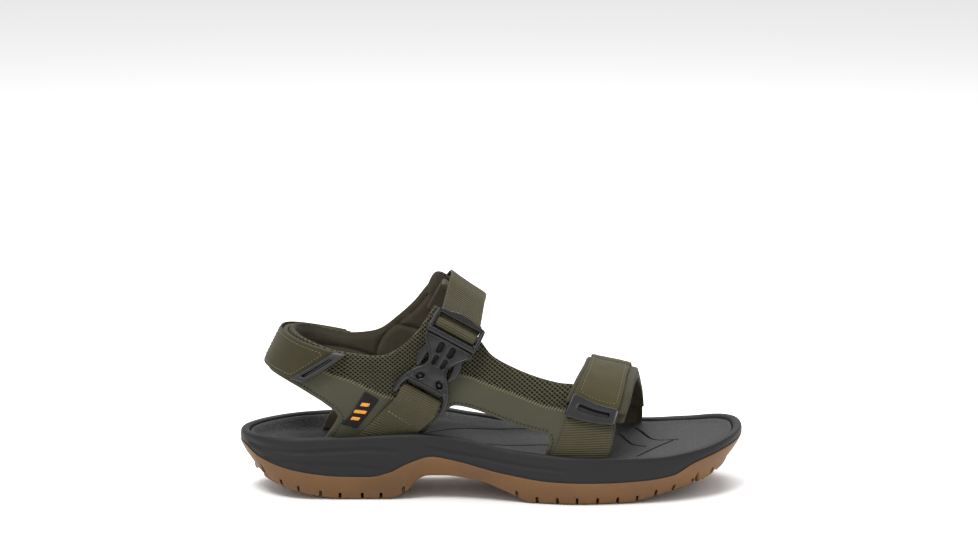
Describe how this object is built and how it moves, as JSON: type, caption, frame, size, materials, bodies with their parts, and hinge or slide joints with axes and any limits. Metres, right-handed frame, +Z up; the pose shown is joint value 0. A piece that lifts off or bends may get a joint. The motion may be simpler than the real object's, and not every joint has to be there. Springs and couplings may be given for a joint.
{
  "type": "sport sandal",
  "caption": "Strappy sport sandal for a right foot: cupped sole, mesh and webbing upper, hook-and-loop heel and forefoot flaps, side-release instep buckle.",
  "frame": {"origin": "on the ground under the middle of the sandal's bounding box", "axes": "+X runs from heel to toe, +Y from the lateral (outer) side to the medial (inner) side of a right foot, +Z up"},
  "size_m": [0.3, 0.1079, 0.1308],
  "materials": {
    "rubber": "matte moulded gum rubber",
    "foam": "matte moulded foam",
    "footbed_foam": "fine grained foam",
    "nylon": "moulded",
    "lining": "brushed knit lining",
    "mesh": "open diamond mesh over a dark backing",
    "synthetic": "smooth coated microfibre",
    "webbing": "ribbed polyester webbing",
    "hook": "hook tape",
    "plastic": "fine textured moulding",
    "tab_rubber": "satin moulded rubber",
    "label": "woven tape"
  },
  "bodies": {
    "sandal": {"outsole": "rubber", "midsole": "foam", "footbed": "footbed_foam", "heel_cushion_pad": "nylon", "shank": "nylon", "lateral_lining": "lining", "medial_lining": "lining", "lateral_mesh": "mesh", "medial_mesh": "mesh", "lateral_overlay": "synthetic", "medial_overlay": "synthetic", "heel_loop_strap": "webbing", "heel_strap_medial": "synthetic", "forefoot_pad": "lining", "forefoot_lateral_anchor": "webbing", "forefoot_loop_strap": "webbing", "forefoot_strap_medial": "synthetic", "buckle_socket": "plastic", "instep_pad": "lining", "instep_medial_webbing": "webbing", "lower_webbing": "webbing", "side_label": "label"},
    "heel_flap": {"heel_flap": "synthetic", "heel_hook_patch": "hook", "heel_pull_tab": "tab_rubber"},
    "forefoot_flap": {"forefoot_flap": "synthetic", "forefoot_hook_patch": "hook", "forefoot_pull_tab": "tab_rubber"},
    "buckle_plug": {"buckle_plug": "plastic", "instep_webbing": "webbing"},
    "release_arm_rear": {"release_arm_rear": "plastic"},
    "release_arm_front": {"release_arm_front": "plastic"}
  },
  "joints": [
    {"name": "heel_flap_peel", "type": "hinge", "parent": "sandal", "child": "heel_flap", "pos_m": [-0.13172, -0.0006, 0.08881], "axis": [-0.3053, 0, -0.9523], "range_deg": [0, 110]},
    {"name": "forefoot_flap_peel", "type": "hinge", "parent": "sandal", "child": "forefoot_flap", "pos_m": [0.07206, 0.00338, 0.07486], "axis": [-0.973, 0.0056, 0.2307], "range_deg": [0, 120]},
    {"name": "buckle_release", "type": "slide", "parent": "sandal", "child": "buckle_plug", "axis": [0.4794, 0.0951, 0.8724], "range_m": [0, 0.022]},
    {"name": "rear_arm_squeeze", "type": "hinge", "parent": "buckle_plug", "child": "release_arm_rear", "pos_m": [-0.03219, -0.0368, 0.09808], "axis": [-0.0162, -0.993, 0.1172], "range_deg": [0, 6], "stiffness_Nm_per_rad": 0.02},
    {"name": "front_arm_squeeze", "type": "hinge", "parent": "buckle_plug", "child": "release_arm_front", "pos_m": [-0.02079, -0.03772, 0.09191], "axis": [0.0162, 0.993, -0.1172], "range_deg": [0, 6], "stiffness_Nm_per_rad": 0.02}
  ]
}
